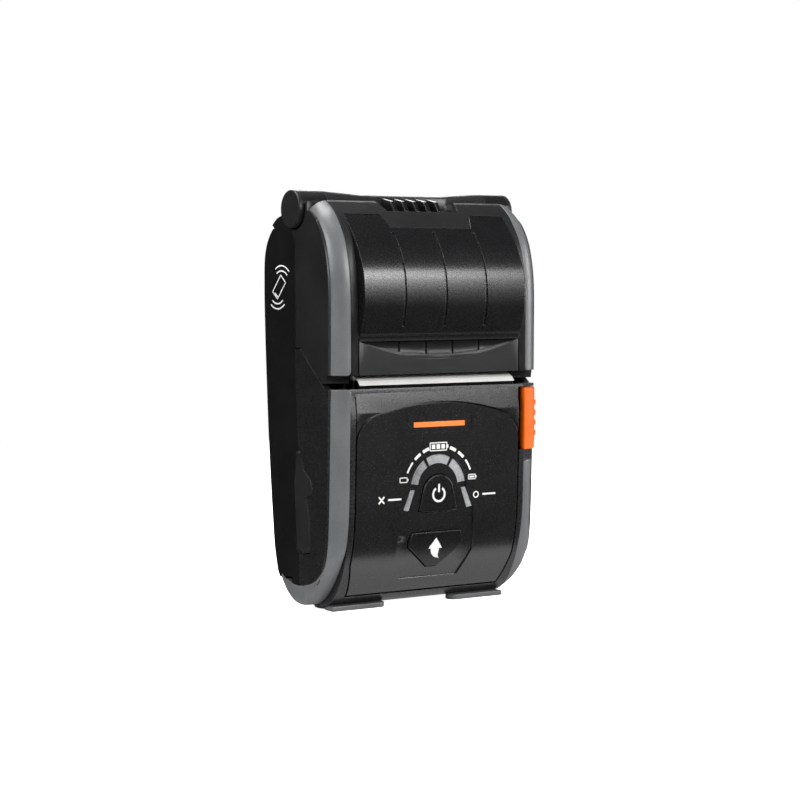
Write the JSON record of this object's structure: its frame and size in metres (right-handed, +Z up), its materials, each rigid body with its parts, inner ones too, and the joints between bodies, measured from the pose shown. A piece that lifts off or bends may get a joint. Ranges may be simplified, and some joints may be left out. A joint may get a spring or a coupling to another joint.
{
  "type": "portable receipt printer",
  "caption": "Pocket thermal receipt printer with a hinged lid over its paper roll, rubber corner strips, a key panel, a side release button and a slide-out battery.",
  "frame": {"origin": "middle of the bounding box on the plane that the feet stand on", "axes": "+Z up to the hinge, +X to the right seen from the front, +Y towards the back; the panel and the paper slot face -Y"},
  "size_m": [0.08, 0.0468, 0.129],
  "materials": {
    "case_black": "satin black, fine grain",
    "case_charcoal": "satin charcoal, fine grain",
    "smoked_shell": "glossy black",
    "key_plastic": "semi-gloss black",
    "bumper_rubber": "satin grey rubber",
    "light_lens": "silvery, finely grained",
    "steel": "bright",
    "heat_sink": "extruded",
    "bush": "sintered",
    "ceramic": "glazed",
    "board": "solder mask",
    "gear_plastic": "moulded acetal",
    "platen_rubber": "ground",
    "paper": "smooth white paper",
    "cardboard": "plain board",
    "release_orange": "semi-gloss orange",
    "flap_rubber": "matt black rubber",
    "black_plastic": "matt"
  },
  "bodies": {
    "housing": {"rear_housing": "case_black", "front_housing": "case_charcoal", "control_panel": "case_charcoal", "name_plate": "case_black", "battery_light_low": "light_lens", "battery_light_mid": "light_lens", "battery_light_full": "light_lens", "error_light": "light_lens", "status_light": "light_lens", "lower_bumper_left": "bumper_rubber", "lower_bumper_right": "bumper_rubber", "rear_bumper_left": "bumper_rubber", "rear_bumper_right": "bumper_rubber", "foot_left": "bumper_rubber", "foot_right": "bumper_rubber", "hinge_pin": "steel", "hinge_cap_left": "case_black", "hinge_cap_right": "case_black", "hinge_spring": "steel", "paper_bay": "case_black", "print_frame": "steel", "print_head": "ceramic", "heat_sink": "heat_sink", "head_springs": "steel", "tear_bar": "steel", "paper_sensor": "black_plastic", "paper_strip": "paper", "feed_motor": "steel", "idler_axle": "steel", "main_board": "board", "key_switches": "steel", "indicator_leds": "light_lens", "power_socket": "black_plastic", "data_socket": "steel", "battery_contacts": "steel", "case_screws": "steel", "release_spring": "steel"},
    "cover": {"cover_frame": "case_charcoal", "cover_dome": "smoked_shell", "cover_ribs": "case_black", "upper_bumper_left": "bumper_rubber", "upper_bumper_right": "bumper_rubber", "platen_bushes": "bush"},
    "platen": {"platen_roller": "platen_rubber", "platen_shaft": "steel", "platen_gear": "gear_plastic"},
    "idler": {"idler_gear": "gear_plastic"},
    "motor_rotor": {"motor_gear": "steel"},
    "roll": {"paper_roll": "paper", "paper_core": "cardboard"},
    "power_key": {"power_button": "key_plastic"},
    "feed_key": {"feed_button": "key_plastic"},
    "release_key": {"release_button": "release_orange"},
    "port_flap": {"port_cover": "flap_rubber"},
    "battery": {"battery_pack": "black_plastic"}
  },
  "joints": [
    {"name": "cover_hinge", "type": "hinge", "parent": "housing", "child": "cover", "pos_m": [0, 0.0033, 0.1232], "axis": [-1, 0, 0], "range_deg": [0, 95]},
    {"name": "roll_spin", "type": "hinge", "parent": "housing", "child": "roll", "pos_m": [0, 0.0002, 0.0976], "axis": [1, 0, 0], "continuous": true},
    {"name": "platen_spin", "type": "hinge", "parent": "cover", "child": "platen", "pos_m": [0, -0.011, 0.077], "axis": [1, 0, 0], "continuous": true},
    {"name": "idler_spin", "type": "hinge", "parent": "housing", "child": "idler", "pos_m": [0, 0.0001, 0.07356], "axis": [1, 0, 0], "continuous": true},
    {"name": "motor_spin", "type": "hinge", "parent": "housing", "child": "motor_rotor", "pos_m": [0, -0.00145, 0.06255], "axis": [1, 0, 0], "continuous": true},
    {"name": "power_press", "type": "slide", "parent": "housing", "child": "power_key", "axis": [0, 1, 0], "range_m": [0, 0.0008], "stiffness_N_per_m": 300, "springref_m": -0.0005},
    {"name": "feed_press", "type": "slide", "parent": "housing", "child": "feed_key", "axis": [0, 1, 0], "range_m": [0, 0.0008], "stiffness_N_per_m": 300, "springref_m": -0.0005},
    {"name": "release_press", "type": "slide", "parent": "housing", "child": "release_key", "axis": [-1, 0, 0], "range_m": [0, 0.0015], "stiffness_N_per_m": 500, "springref_m": -0.001},
    {"name": "port_flap_hinge", "type": "hinge", "parent": "housing", "child": "port_flap", "pos_m": [-0.0383, -0.0005, 0.0485], "axis": [0, 1, 0], "range_deg": [0, 100]},
    {"name": "battery_slide", "type": "slide", "parent": "housing", "child": "battery", "axis": [0, 1, 0], "range_m": [0, 0.015]}
  ],
  "couplings": [
    {"joint": "platen_spin", "follows": "roll_spin", "ratio": 4.7},
    {"joint": "idler_spin", "follows": "roll_spin", "ratio": -2.0562},
    {"joint": "motor_spin", "follows": "roll_spin", "ratio": 5.4833}
  ]
}
